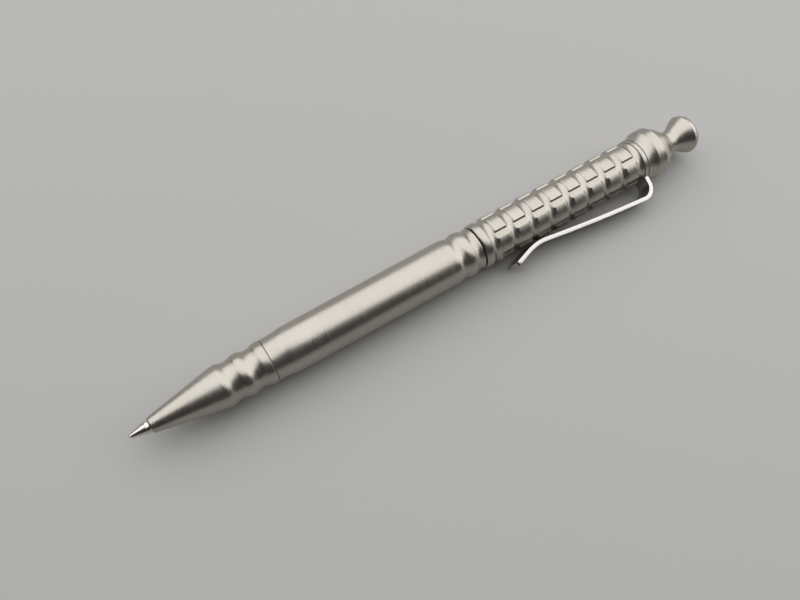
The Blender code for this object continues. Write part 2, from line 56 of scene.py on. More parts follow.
pen = {
    "collarRadius": 5.83,    # the pen rests on its collar and on one corner of the clip
    "clipReach": 9.105,      # from the axis to the outer face of the clip's crest
    "clipHalf": 2.3,
    "segments": 144,         # faces round a turned piece
    "smallSegments": 96,     # faces round a thin one
    "sharpAngle": 25,        # degrees; a steeper edge stays crisp
    "mergeWithin": 0.0005,   # points nearer than this become one
    "tinyEdge": 0.0001,      # edges shorter than this are dissolved
    "cornerShare": 0.4,      # the most of a side that the rounding of one corner takes
    "supportReach": 1.2,     # place of the support point beside a rounding, in corner radii
}


def middleOf(node):
    low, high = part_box(node)
    return (low + high) / 2


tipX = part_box("refill_ball")[0].x
axisY, axisZ = middleOf("lower_barrel").yz
cornerReach = math.hypot(pen["clipReach"], pen["clipHalf"])
roll = math.asin(pen["collarRadius"] / cornerReach) - math.atan2(pen["clipHalf"], pen["clipReach"])


def spanOf(node):
    # First and last place of a CAD node along the pen
    low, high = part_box(node)
    return (low.x - tipX) / mm, (high.x - tipX) / mm


def toRow(along, side, up):
    # Pen to row: turn side and up by the pen's roll, then shift to the axis and to the tip
    x = tipX + along * mm
    y = axisY + (side * math.cos(roll) - up * math.sin(roll)) * mm
    z = axisZ + (side * math.sin(roll) + up * math.cos(roll)) * mm
    return np.stack(np.broadcast_arrays(x, y, z), axis=-1)


# Mesh

def gridPiece(name, grid, material, body, stands, closedRows=True, unwrapped=None):
    # Joins a grid of points, whose rows run round the piece, into quads and closes it.
    # Points that fall together are merged, and the faces are turned outwards if the volume is negative.
    # unwrapped gives each point its place in mm along and across, for brushing that follows a bend.
    rows, columns = grid.shape[:2]
    ids = np.arange(rows * columns).reshape(rows, columns)
    beside = np.roll(ids, -1, axis=1)
    quads = np.stack([ids, beside, np.roll(beside, -1, axis=0), np.roll(ids, -1, axis=0)], axis=-1)
    if not closedRows:
        quads = quads[:-1]
    mesh = bpy.data.meshes.new(name)
    quads = quads.reshape(-1, 4)
    mesh.from_pydata(grid.reshape(-1, 3).tolist(), [], quads.tolist())
    if unwrapped is not None:
        layer = mesh.uv_layers.new(name="brushing")
        layer.uv.foreach_set("vector", unwrapped.reshape(-1, 2)[quads.ravel()].astype(np.float32).ravel())
    finishPiece(name, mesh, material, body, stands)


def finishPiece(name, mesh, material, body, stands):
    # Cleans the mesh, turns it outwards, and gives the piece its material. A piece with one named body is
    # attached to it, any other is fixed in place where it stands; the solids that it stands for are hidden.
    shape = bmesh.new()
    shape.from_mesh(mesh)
    bmesh.ops.remove_doubles(shape, verts=shape.verts, dist=pen["mergeWithin"] * mm)
    bmesh.ops.dissolve_degenerate(shape, edges=shape.edges, dist=pen["tinyEdge"] * mm)
    if shape.calc_volume(signed=True) < 0:
        bmesh.ops.reverse_faces(shape, faces=shape.faces)
    openEdges = sum(1 for edge in shape.edges if not edge.is_manifold)
    shape.to_mesh(mesh)
    shape.free()
    mesh.shade_smooth()
    mesh.set_sharp_from_angle(angle=math.radians(pen["sharpAngle"]))
    mesh.materials.append(material)
    piece = bpy.data.objects.new(name, mesh)
    bpy.context.scene.collection.objects.link(piece)
    if isinstance(body, str):
        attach(piece, body)
    else:
        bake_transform(piece)
    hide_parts(*stands)
    print(f"{name}: {len(mesh.polygons)} faces, {openEdges} open edges")


def turnedGrid(path, segments=pen["segments"]):
    # Carries a path of (along, radius) points round the axis
    turn = np.linspace(0, math.tau, segments, endpoint=False)
    along = path[:, :1]
    radius = path[:, 1:]
    return toRow(along, radius * np.sin(turn), radius * np.cos(turn))


def softened(path, radii, steps=3):
    # Rounds each corner of a closed path: a quadratic curve leaves the path one radius before the corner and
    # joins it one radius after, or nearer where the next corner is near. A support point outside each end
    # keeps the long faces flat in shading. A corner of radius 0 stays as it is.
    path = np.asarray(path, float)
    radii = np.broadcast_to(np.asarray(radii, float), len(path))
    back = np.roll(path, 1, axis=0) - path
    ahead = np.roll(path, -1, axis=0) - path
    backLength = np.maximum(np.hypot(*back.T), 1e-9)
    aheadLength = np.maximum(np.hypot(*ahead.T), 1e-9)
    backTrim = np.minimum(radii, pen["cornerShare"] * backLength)
    aheadTrim = np.minimum(radii, pen["cornerShare"] * aheadLength)
    start = path + back * (backTrim / backLength)[:, None]
    end = path + ahead * (aheadTrim / aheadLength)[:, None]
    t = np.linspace(0, 1, steps + 1)[None, :, None]
    curve = (1 - t) ** 2 * start[:, None] + 2 * t * (1 - t) * path[:, None] + t ** 2 * end[:, None]
    first = path + back * (pen["supportReach"] * backTrim / backLength)[:, None]
    last = path + ahead * (pen["supportReach"] * aheadTrim / aheadLength)[:, None]
    points = np.concatenate([first[:, None], curve, last[:, None]], axis=1)
    keep = np.ones(points.shape[:2], bool)
    keep[radii == 0, 1:] = False
    return points[keep]


def swing(crest, valley, crease=0.5, sharpness=1.0, count=9):
    # From a crest down to a valley: a rounded shoulder meets a round-bottomed cut at the crease, a share of
    # the way. Each is a parabola. Below a sharpness of 1 the cut is steeper than the shoulder where they
    # meet, so the two meet in a fine line.
    split = crease * sharpness
    t = np.concatenate([np.linspace(0, crease, count), np.linspace(crease, 1, count)[1:]])
    shoulder = split * (t / crease) ** 2
    cut = 1 - (1 - split) * ((1 - t) / (1 - crease)) ** 2
    drop = np.where(t < crease, shoulder, cut)
    along = crest[0] + (valley[0] - crest[0]) * t
    radius = crest[1] + (valley[1] - crest[1]) * drop
    return np.stack([along, radius], axis=-1)


def rise(valley, crest, crease=0.5, sharpness=1.0, count=9):
    # The same curve, from a valley up to a crest
    return swing(crest, valley, crease, sharpness, count)[::-1]


def flared(start, end, late=1.0, count=24):
    # From a cylinder out to a crease: a square curve, mixed with half a cosine wave where late is below 1
    share = np.linspace(0, 1, count)
    lift = late * share ** 2 + (1 - late) * (1 - np.cos(math.pi * share)) / 2
    return np.stack([start[0] + (end[0] - start[0]) * share, start[1] + (end[1] - start[1]) * lift], axis=-1)


def arc(middle, radius, start, end, count):
    # Part of a circle in the plane of the path, angles from the direction of travel
    angle = np.linspace(start, end, count)
    return np.stack([middle[0] + radius * np.cos(angle), middle[1] + radius * np.sin(angle)], axis=-1)


def joinedPath(*runs):
    # Single points and runs of points, one after the other, as one path
    return np.concatenate([np.atleast_2d(np.asarray(run, float)) for run in runs])


# Materials

def toLinear(hexColour):
    # sRGB hex to the linear colour that shaders use
    parts = [int(hexColour[i:i + 2], 16) / 255 for i in (1, 3, 5)]
    return (*[p / 12.92 if p <= 0.04045 else ((p + 0.055) / 1.055) ** 2.4 for p in parts], 1)


def addNode(tree, kind, settings=None, **links):
    # Adds one node; settings are properties or values by socket, links are sockets by name or number
    node = tree.nodes.new(kind)
    for key, value in (settings or {}).items():
        if isinstance(key, int) or key in node.inputs:
            node.inputs[key].default_value = value
        else:
            setattr(node, key, value)
    for key, socket in links.items():
        place = int(key[1:]) if key[0] == "i" and key[1:].isdigit() else key.replace("_", " ")
        tree.links.new(socket, node.inputs[place])
    return node


def newMaterial(name, metallic, colour, roughness):
    material = bpy.data.materials.new(name)
    material.use_nodes = True
    shader = material.node_tree.nodes["Principled BSDF"]
    shader.inputs["Metallic"].default_value = metallic
    shader.inputs["Base Color"].default_value = toLinear(colour)
    shader.inputs["Roughness"].default_value = roughness
    return material, material.node_tree, shader


def rangeOf(tree, socket, low, high):
    # Takes a 0 to 1 value to the given range
    spread = addNode(tree, "ShaderNodeMapRange", {"To Min": low, "To Max": high}, Value=socket)
    return spread.outputs["Result"]


def finishMetal(name, look):
    # A metal with turning rings across the pen's axis and a fine grain, both in gloss and in bump, and a slow
    # change of tone
    material, tree, shader = newMaterial(name, 1.0, look["colour"], look["roughness"])
    place = addNode(tree, "ShaderNodeTexCoord").outputs["Object"]
    grain = addNode(tree, "ShaderNodeTexNoise", {"Scale": 1 / (look["grainSize"] * mm), "Detail": 3.0},
                    Vector=place).outputs["Fac"]
    patch = addNode(tree, "ShaderNodeTexNoise", {"Scale": 1 / (look["patchSize"] * mm), "Detail": 2.0},
                    Vector=place).outputs["Fac"]
    slowAcross = 30    # per metre; round the pen the rings hardly change
    ringScale = (1 / (look["ringSpacing"] * mm), slowAcross, slowAcross)
    ringStretch = addNode(tree, "ShaderNodeMapping", {"Scale": ringScale}, Vector=place).outputs["Vector"]
    rings = addNode(tree, "ShaderNodeTexNoise", {"Scale": 1.0, "Detail": 2.0},
                    Vector=ringStretch).outputs["Fac"]
    mixed = addNode(tree, "ShaderNodeMath", {"operation": "ADD"},
                    i0=rangeOf(tree, grain, -look["grainGloss"], look["grainGloss"]),
                    i1=rangeOf(tree, rings, -look["ringGloss"], look["ringGloss"])).outputs[0]
    rough = addNode(tree, "ShaderNodeMath", {"operation": "ADD", 1: look["roughness"]}, i0=mixed).outputs[0]
    tree.links.new(rough, shader.inputs["Roughness"])
    leastColour = 0.1    # the darkest patches still hold this share of the full colour
    tone = addNode(tree, "ShaderNodeMix", {"data_type": "RGBA", 6: toLinear(look["dark"]),
                                           7: toLinear(look["colour"])},
                   i0=rangeOf(tree, patch, leastColour, 1.0)).outputs[2]
    tree.links.new(tone, shader.inputs["Base Color"])
    bumpGrain = addNode(tree, "ShaderNodeBump",
                        {"Strength": look["grainBump"], "Distance": look["grainSize"] * mm},
                        Height=grain).outputs["Normal"]
    bumpRings = addNode(tree, "ShaderNodeBump",
                        {"Strength": look["ringBump"], "Distance": look["ringSpacing"] * mm},
                        Height=rings, Normal=bumpGrain).outputs["Normal"]
    tree.links.new(bumpRings, shader.inputs["Normal"])
    return material


# Titanium, turned and then lightly blasted with fine glass beads: a warm grey with a soft, broad highlight
blastedTitanium = finishMetal("turnedBlastedTitanium", {
    "colour": "#B7B2A9", "dark": "#ABA69D", "roughness": 0.33, "grainSize": 0.22, "patchSize": 6.0,
    "ringSpacing": 0.35, "grainGloss": 0.08, "ringGloss": 0.12, "grainBump": 0.06, "ringBump": 0.08,
})


def brushedStrip(name, look):
    # Strip brushed along its length: the piece's own UV map runs along the strip in u and across it in v
    material, tree, shader = newMaterial(name, 1.0, look["colour"], look["roughness"])
    place = addNode(tree, "ShaderNodeTexCoord").outputs["UV"]
    lineScale = (1 / look["lineLength"], 1 / look["lineSpacing"], 1)
    stretch = addNode(tree, "ShaderNodeMapping", {"Scale": lineScale}, Vector=place).outputs["Vector"]
    lines = addNode(tree, "ShaderNodeTexNoise", {"Scale": 1.0, "Detail": 3.0}, Vector=stretch).outputs["Fac"]
    rough = rangeOf(tree, lines, look["roughness"] - look["lineGloss"], look["roughness"] + look["lineGloss"])
    tree.links.new(rough, shader.inputs["Roughness"])
    tone = addNode(tree, "ShaderNodeMix", {"data_type": "RGBA", 6: toLinear(look["dark"]),
                                           7: toLinear(look["colour"])}, i0=lines).outputs[2]
    tree.links.new(tone, shader.inputs["Base Color"])
    bump = addNode(tree, "ShaderNodeBump",
                   {"Strength": look["lineBump"], "Distance": look["lineSpacing"] * mm},
                   Height=lines).outputs["Normal"]
    tree.links.new(bump, shader.inputs["Normal"])
    return material


# Titanium sheet, rolled and brushed along: bright, with fine lines that follow the strip
brushedTitanium = brushedStrip("brushedTitaniumSheet", {
    "colour": "#D6D3CE", "dark": "#B5B2AD", "roughness": 0.25, "lineLength": 4.0, "lineSpacing": 0.2,
    "lineGloss": 0.08, "lineBump": 0.12,
})

# Stainless steel, turned and polished: bright, with faint rings
polishedSteel = finishMetal("turnedPolishedSteel", {
    "colour": "#D8D4CD", "dark": "#C6C2BB", "roughness": 0.2, "grainSize": 0.15, "patchSize": 2.0,
    "ringSpacing": 0.12, "grainGloss": 0.03, "ringGloss": 0.03, "grainBump": 0.02, "ringBump": 0.05,
})

# Stainless tube, drawn: satin, with faint rings from its polishing
drawnSteel = finishMetal("drawnStainlessTube", {
    "colour": "#B9B8B6", "dark": "#A9A8A6", "roughness": 0.27, "grainSize": 0.3, "patchSize": 5.0,
    "ringSpacing": 0.2, "grainGloss": 0.04, "ringGloss": 0.05, "grainBump": 0.05, "ringBump": 0.05,
})

# Music wire, drawn and nickelled: bright, a little uneven
springWire = finishMetal("nickelledMusicWire", {
    "colour": "#BDBBB6", "dark": "#A5A39E", "roughness": 0.22, "grainSize": 0.1, "patchSize": 1.0,
    "ringSpacing": 0.3, "grainGloss": 0.05, "ringGloss": 0.03, "grainBump": 0.08, "ringBump": 0.03,
})

# Free-cutting brass, turned: warm yellow, fine rings from the tool
turnedBrass = finishMetal("turnedBrass", {
    "colour": "#D9B569", "dark": "#C49D52", "roughness": 0.26, "grainSize": 0.2, "patchSize": 3.0,
    "ringSpacing": 0.16, "grainGloss": 0.03, "ringGloss": 0.06, "grainBump": 0.03, "ringBump": 0.12,
})


def finishMoulded(name, look):
    # A moulded or cast surface: even colour with a slow change of tone, and a fine skin grain
    material, tree, shader = newMaterial(name, 0.0, look["colour"], look["roughness"])
    shader.inputs["IOR"].default_value = look["ior"]
    place = addNode(tree, "ShaderNodeTexCoord").outputs["Object"]
    grain = addNode(tree, "ShaderNodeTexNoise", {"Scale": 1 / (look["grainSize"] * mm), "Detail": 3.0},
                    Vector=place).outputs["Fac"]
    patch = addNode(tree, "ShaderNodeTexNoise", {"Scale": 1 / (look["patchSize"] * mm), "Detail": 2.0},
                    Vector=place).outputs["Fac"]
    tone = addNode(tree, "ShaderNodeMix", {"data_type": "RGBA", 6: toLinear(look["dark"]),
                                           7: toLinear(look["colour"])}, i0=patch).outputs[2]
    tree.links.new(tone, shader.inputs["Base Color"])
    rough = rangeOf(tree, grain, look["roughness"] - look["grainGloss"],
                    look["roughness"] + look["grainGloss"])
    tree.links.new(rough, shader.inputs["Roughness"])
    bump = addNode(tree, "ShaderNodeBump",
                   {"Strength": look["grainBump"], "Distance": look["grainSize"] * mm},
                   Height=grain).outputs["Normal"]
    tree.links.new(bump, shader.inputs["Normal"])
    return material


# Acetal, moulded: milky white, waxy
mouldedAcetal = finishMoulded("mouldedAcetal", {
    "colour": "#E6E4DE", "dark": "#D8D6CF", "roughness": 0.42, "ior": 1.48, "grainSize": 0.15,
    "patchSize": 3.0, "grainGloss": 0.06, "grainBump": 0.06,
})

# Nitrile rubber, moulded: near black, dull
mouldedRubber = finishMoulded("mouldedNitrileRubber", {
    "colour": "#222121", "dark": "#181717", "roughness": 0.62, "ior": 1.52, "grainSize": 0.1,
    "patchSize": 1.5, "grainGloss": 0.08, "grainBump": 0.15,
})

# Writing ink, a thick liquid: near black, smooth and glossy
blackInk = finishMoulded("blackWritingInk", {
    "colour": "#111116", "dark": "#0B0B0F", "roughness": 0.3, "ior": 1.38, "grainSize": 0.5,
    "patchSize": 3.0, "grainGloss": 0.04, "grainBump": 0.02,
})

finishes = {
    "satin_titanium": blastedTitanium, "bright_titanium": brushedTitanium, "plain_steel": drawnSteel,
    "bright_steel": polishedSteel, "brass": turnedBrass,
    "acetal": mouldedAcetal, "seal_rubber": mouldedRubber, "ink": blackInk,
}
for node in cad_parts.values():
    for place in node.material_slots:
        slotName = place.material.name.split(".")[0]
        place.material = finishes.get(slotName, blastedTitanium)
print("materials made")


# Body

def threaded(start, end, crest, depth, pitch, segments=pen["segments"], rowsPerPitch=8):
    # Screw thread as rows of a grid: the radius falls from the crest by a triangle wave of the place along
    # the pen less the turn, and runs out to the root at both ends
    turn = np.linspace(0, 1, segments, endpoint=False)[None, :]
    along = np.arange(start, end, pitch / rowsPerPitch)[:, None]
    wave = np.abs(((along / pitch - turn) % 1) * 2 - 1)
    fade = np.clip(np.minimum(along - start, end - along) / pitch, 0, 1)
    radius = crest - depth + depth * fade * wave
    return toRow(along, radius * np.sin(turn * math.tau), radius * np.cos(turn * math.tau))


nose = {
    "cone": [(0.0, 1.46), (0.33, 1.66), (14.3, 4.38)],    # first the chamfer round the point's hole
    "crests": [(15.0, 4.44), (19.6, 4.50), (24.3, 4.53)],
    "valleys": [(16.85, 4.02), (21.6, 4.04)],
    # Crease and sharpness of each curve, as swing takes them, in the order of the path
    "creases": [(0.6, 1.0), (0.49, 0.9), (0.31, 0.55), (0.43, 0.9), (0.41, 0.55)],
    "seam": 0.09, "seamDrop": 0.02,
    "threadCrest": 3.85, "threadDepth": 0.34, "threadPitch": 0.75, "threadStart": 0.8, "threadSetback": 0.1,
    "bore": 3.2, "boreFront": 19.0,
    "springBore": 2.45, "springBoreRear": 17.3, "springSeat": 11.5,
    "tipBore": 1.32,
}


def buildNose():
    front, threadRear = spanOf("nose_cone")
    rear = spanOf("lower_barrel")[0] - nose["seam"]
    cone, crests, valleys = (np.array(nose[key]) + (front, 0) for key in ("cone", "crests", "valleys"))
    # Each cut is long and each crest short, and the rear end of a cut meets its crest in a fine line
    creases = nose["creases"]
    outside = joinedPath(
        cone, rise(cone[-1], crests[0], *creases[0])[1:],
        swing(crests[0], valleys[0], *creases[1])[1:], rise(valleys[0], crests[1], *creases[2])[1:],
        swing(crests[1], valleys[1], *creases[3])[1:], rise(valleys[1], crests[2], *creases[4])[1:])
    root = nose["threadCrest"] - nose["threadDepth"]
    threadStart = rear + nose["threadStart"]
    end = [(rear, crests[-1][1] - nose["seamDrop"]), (rear, root), (threadStart, root)]
    tail = [(threadRear, root), (threadRear, nose["bore"]), (nose["boreFront"], nose["bore"]),
            (nose["springBoreRear"], nose["springBore"]), (nose["springSeat"], nose["springBore"]),
            (nose["springSeat"], nose["tipBore"]), (front, nose["tipBore"])]
    # Corner radii, one for each point of the path
    radii = [0.05, 0.12] + [0] * (len(outside) - 2) + [0.12, 0.03, 0] + [0.1] * 2 + [0.0] * 4 + [0.04]
    path = softened(joinedPath(outside, end, tail), radii)
    split = np.argmax(path[:, 0] >= threadStart) + 1
    thread = threaded(threadStart, threadRear - nose["threadSetback"], nose["threadCrest"],
                      nose["threadDepth"], nose["threadPitch"])
    grid = np.concatenate([turnedGrid(path[:split]), thread, turnedGrid(path[split:])])
    gridPiece("noseConeTurned", grid, blastedTitanium, "nose", ["nose_cone"])


lower = {
    "flareStart": (0.3, 4.43), "crease": (4.15, 4.765), "tubeStart": (8.0, 4.806),    # behind the front seam
    "tubeEnd": (8.50, 4.95), "crestA": (6.78, 4.93), "valleyA": (4.76, 4.58), "crestB": (3.0, 4.97),
    "valleyB": (0.92, 4.48), "lip": (0.0, 4.60),                 # before the middle seam
    "creases": [(0.46, 0.55), (0.45, 0.75), (0.45, 0.55), (0.4, 1.0)],    # crease and sharpness of each curve
    "threadBore": 3.95, "bore": 3.2, "threadLength": 7.4,
    "setback": 0.14,         # the lip stands this far in front of the solid's, where the seam shows
}


def buildLowerBarrel():
    # A flare out of the front seam, a long tube and two waves before the middle seam, turned round the axis
    front, rear = spanOf("lower_barrel")
    rear -= lower["setback"]

    def ahead(key):
        return front + lower[key][0], lower[key][1]

    def behind(key):
        return rear - lower[key][0], lower[key][1]

    creases = lower["creases"]
    flare = flared(ahead("flareStart"), ahead("crease"))
    outside = joinedPath(
        (front, flare[0, 1]), flare, ahead("tubeStart"), behind("tubeEnd"), behind("crestA"),
        swing(behind("crestA"), behind("valleyA"), *creases[0])[1:],
        rise(behind("valleyA"), behind("crestB"), *creases[1])[1:],
        swing(behind("crestB"), behind("valleyB"), *creases[2])[1:],
        rise(behind("valleyB"), behind("lip"), *creases[3])[1:])
    socket = lower["threadLength"]
    inside = [(rear, lower["threadBore"]), (rear - socket, lower["threadBore"]),
              (rear - socket, lower["bore"]), (front + socket, lower["bore"]),
              (front + socket, lower["threadBore"]), (front, lower["threadBore"])]
    radii = [0.1, 0.2] + [0] * (len(outside) - 3) + [0.08, 0.06] + [0] * 4 + [0.06]
    grid = turnedGrid(softened(joinedPath(outside, inside), radii))
    gridPiece("lowerBarrelTurned", grid, blastedTitanium, "barrel", ["lower_barrel"])


grip = {
    "seam": 0.22, "lipStart": 4.58, "lipRadius": 4.95, "lipLength": 1.64, "lipRound": 1.1,
    "lipPoints": 8,
    "lands": 8, "landRadius": 5.0, "landWidth": 2.8, "grooveWidth": 2.06, "grooveDepth": 0.48,
    "edgeRound": 0.22,       # rounding of a land's edge towards the grooves
    "flutes": 6, "fluteHalf": 0.86, "floorHalf": 0.46, "fluteTurn": -2.3, "fluteFloor": 4.7,
    "fluteRound": 0.05,      # rounding of a land's edge towards the flutes
    "landColumns": 16, "floorColumns": 6, "wallColumns": 4, "roundColumns": 3,
    "nearEdge": 0.04,        # share of a flat at which its support point stands in from its edge
    "arcPoints": 13,         # along a groove
    "lipCorner": 0.06, "rearCorner": 0.08,
    "bore": 3.2, "boreRear": 98.0, "wideBore": 3.75, "threadRoot": 3.55,
}


def gripPath(front, rear):
    # Path of the outside of the upper barrel: a rounded lip, then round-bottomed grooves between flat lands
    lipAngle = np.linspace(0, math.pi / 2, grip["lipPoints"])
    lip = np.stack([front + grip["lipRound"] * (1 - np.cos(lipAngle)),
                    grip["lipStart"] + (grip["lipRadius"] - grip["lipStart"]) * np.sin(lipAngle)], axis=-1)
    half = grip["grooveWidth"] / 2
    arcRadius = (half ** 2 + grip["grooveDepth"] ** 2) / (2 * grip["grooveDepth"])
    spread = math.asin(half / arcRadius)
    angle = np.linspace(-spread, spread, grip["arcPoints"])
    across = half + arcRadius * np.sin(angle)
    height = grip["landRadius"] - grip["grooveDepth"] + arcRadius * (1 - np.cos(angle))
    pitch = grip["landWidth"] + grip["grooveWidth"]
    starts = front + grip["lipLength"] + pitch * np.arange(grip["lands"] + 1)
    grooves = np.stack(np.broadcast_arrays(starts[:, None] + across, height), axis=-1).reshape(-1, 2)
    grooves[0, 1] = grip["lipRadius"]
    grooves[-1, 0] = rear
    corner = np.zeros(len(grooves))
    corner[0::grip["arcPoints"]] = grip["edgeRound"]
    corner[grip["arcPoints"] - 1::grip["arcPoints"]] = grip["edgeRound"]
    corner[0] = grip["lipCorner"]
    corner[-1] = grip["rearCorner"]
    return joinedPath(lip, grooves), np.concatenate([np.zeros(len(lip)), corner]), starts + half


def supported(count):
    # Even shares from 0 to 1, with one more close to each end, which keeps a flat's shading flat to its edge
    near = grip["nearEdge"]
    return np.concatenate([[0, near], np.linspace(0, 1, count)[1:-1], [1 - near, 1]])


def flutedGrid(path, fluteSpan):
    # One row for each point of the path. Round the pen, each flute has a flat floor with a slanted wall and
    # a rounded edge on either side of it; the land between two flutes keeps the path's radius. Beyond the
    # ends of the flutes, and where the path is lower than the floor, the row stays a circle.
    along, radius = path[:, :1], path[:, 1:]
    half, floorHalf, rounding = grip["fluteHalf"], grip["floorHalf"], grip["fluteRound"]
    inside = (along > fluteSpan[0]) & (along < fluteSpan[1])
    top = np.sqrt(radius ** 2 - half ** 2)
    shareWall = supported(grip["wallColumns"])[None, 1:]
    wall = floorHalf + (half - floorHalf) * shareWall
    ground = floorHalf * (2 * supported(grip["floorColumns"])[None, :] - 1)
    wide = np.concatenate([-wall[:, ::-1], ground, wall], axis=1)
    wallCut = grip["fluteFloor"] + (top - grip["fluteFloor"]) * shareWall
    groundCut = np.full((len(path), ground.shape[1]), grip["fluteFloor"])
    cut = np.concatenate([wallCut[:, ::-1], groundCut, wallCut], axis=1)
    circle = np.sqrt(radius ** 2 - wide ** 2)
    high = np.where(inside, np.minimum(cut, circle), circle)
    wide = np.broadcast_to(wide, high.shape)
    # Rounded edge at either side, then the land up to the middle between two flutes
    edgeTurn = np.arcsin(half / radius) + rounding / radius
    t = np.linspace(0, 1, grip["roundColumns"])[None, 1:]
    landWide, landHigh = radius * np.sin(edgeTurn), radius * np.cos(edgeTurn)
    share = supported(grip["landColumns"] // 2 + 1)[None, 1:]
    landTurn = edgeTurn + (math.pi / grip["flutes"] - edgeTurn) * share
    landX, landY = radius * np.sin(landTurn), radius * np.cos(landTurn)
    height = high[:, -1:]
    edgeWide = (1 - t) ** 2 * half + 2 * t * (1 - t) * (half + rounding / 3) + t ** 2 * landWide
    edgeHigh = (1 - t) ** 2 * height + 2 * t * (1 - t) * (height + landHigh) / 2 + t ** 2 * landHigh
    # The middle of a land belongs to the flute before it, so the left side leaves it out
    wide = np.concatenate([-landX[:, -2::-1], -edgeWide[:, ::-1], wide, edgeWide, landX], axis=1)
    high = np.concatenate([landY[:, -2::-1], edgeHigh[:, ::-1], high, edgeHigh, landY], axis=1)
    turns = math.radians(grip["fluteTurn"]) + math.tau / grip["flutes"] * np.arange(grip["flutes"])
    side = [-(wide * math.cos(a) + high * math.sin(a)) for a in turns]
    up = [high * math.cos(a) - wide * math.sin(a) for a in turns]
    return toRow(along, np.concatenate(side, axis=1), np.concatenate(up, axis=1))


def buildUpperBarrel():
    # The grip's path closed by its bore, with the flutes cut as it is turned round the axis
    threadFront, rear = spanOf("upper_barrel")
    front = spanOf("lower_barrel")[1] + grip["seam"]
    outside, corners, centres = gripPath(front, rear)
    root = grip["threadRoot"]
    inside = [(rear, grip["wideBore"]), (grip["boreRear"], grip["wideBore"]),
              (grip["boreRear"], grip["bore"]), (threadFront, grip["bore"]), (threadFront, root)]
    # Corner radii, one for each point of the path
    radii = np.concatenate([[0.0], corners, [0.06, 0, 0, 0.05, 0.1]])
    path = softened(joinedPath((front, root), outside, inside), radii, 4)
    grid = flutedGrid(path, (centres[0], centres[-1]))
    gridPiece("upperBarrelTurned", grid, blastedTitanium, "barrel", ["upper_barrel"])


collar = {
    "length": 9.0, "start": 5.06, "flareStart": 0.2, "crease": (2.5, 5.74), "bandEnd": (4.55, 5.83),
    "rim": [(4.64, 5.82), (4.86, 5.52)],
    "dome": [(5.1, 5.42), (6.0, 5.03), (6.9, 4.45), (7.6, 3.92), (8.31, 3.30), (8.8, 3.03), (9.0, 2.98)],
    "lip": 2.8, "seat": 3.22, "seatGap": 0.2, "spigot": 3.65,
}


def buildCollar():
    # A flare, a band, a rim and a dome through the given points, turned round the axis
    spigotFront, rear = spanOf("collar")
    front = rear - collar["length"]

    def placed(key):
        return np.array(collar[key]) + (front, 0)

    flare = flared((front + collar["flareStart"], collar["start"]), placed("crease"))
    outside = joinedPath((front, collar["start"]), flare, placed("bandEnd"), placed("rim"), placed("dome"))
    seatEnd = spanOf("button_bushing")[1] + collar["seatGap"]
    back = [(rear, collar["lip"]), (seatEnd, collar["lip"]), (seatEnd, collar["seat"]),
            (spigotFront, collar["seat"]), (spigotFront, collar["spigot"]), (front, collar["spigot"])]
    # Corner radii, one for each point of the path
    radii = [0.06] + [0] * len(flare) + [0.06, 0.04, 0.05] + [0.2] * 6 + [0.06] + [0.05, 0, 0, 0.05, 0.1, 0]
    path = softened(joinedPath(outside, back), radii)
    gridPiece("collarTurned", turnedGrid(path), blastedTitanium, "barrel", ["collar"])


button = {
    "neck": 2.6, "radius": 4.38, "flare": 4.04,
    "late": 0.5,             # how much of the flare is a square curve
    "flarePoints": 30, "rimPoints": 12,
    "rimLength": 1.85, "rimDepth": 1.7, "faceRing": 1.5, "socket": 1.7, "socketDepth": 9.2,
}


def buildButton():
    # A neck that flares out to a rim, which is a quarter of an ellipse, turned round the axis
    front, end = spanOf("click_button")
    flareEnd = end - button["rimLength"]
    headFront = flareEnd - button["flare"]
    flare = flared((headFront, button["neck"]), (flareEnd, button["radius"]), button["late"],
                   button["flarePoints"])
    angle = np.linspace(0, math.pi / 2, button["rimPoints"])
    rim = np.stack([end - button["rimLength"] + button["rimLength"] * np.sin(angle),
                    button["radius"] - button["rimDepth"] * (1 - np.cos(angle))], axis=-1)
    face = [(end, button["faceRing"]), (end, 0)]
    socketEnd = front + button["socketDepth"]
    path = joinedPath([(socketEnd, 0), (socketEnd, button["socket"]), (front, button["socket"]),
                       (front, button["neck"])], flare, rim, face)
    gridPiece("clickButtonTurned", turnedGrid(path), blastedTitanium, "plunger",
              ["click_button"], closedRows=False)


# Clip

strip = {
    "thickness": 0.95, "half": 2.3, "ringRadius": 5.0, "ringBore": 3.75, "crest": 8.63, "bend": 2.6,
    "ballSetback": 30.0, "ballRadius": 11.0, "ballGap": 0.12, "flareAngle": 19, "flareLength": 4.1,
    "endRound": 0.9, "bow": 0.2, "edge": 0.1,
    "postStart": 4.3, "postEnd": 5.2,      # where the strip leaves the ring, from the axis
    "ringGap": 0.1,                        # from the upper barrel to the ring
    "sidesApart": 7.0,                     # between the brushing of its two faces, per mm of thickness
    "ringRound": 0.08,
    "bendPoints": 20, "armPoints": 26, "ballPoints": 16, "flarePoints": 5, "endPoints": 9, "edgePoints": 4,
}


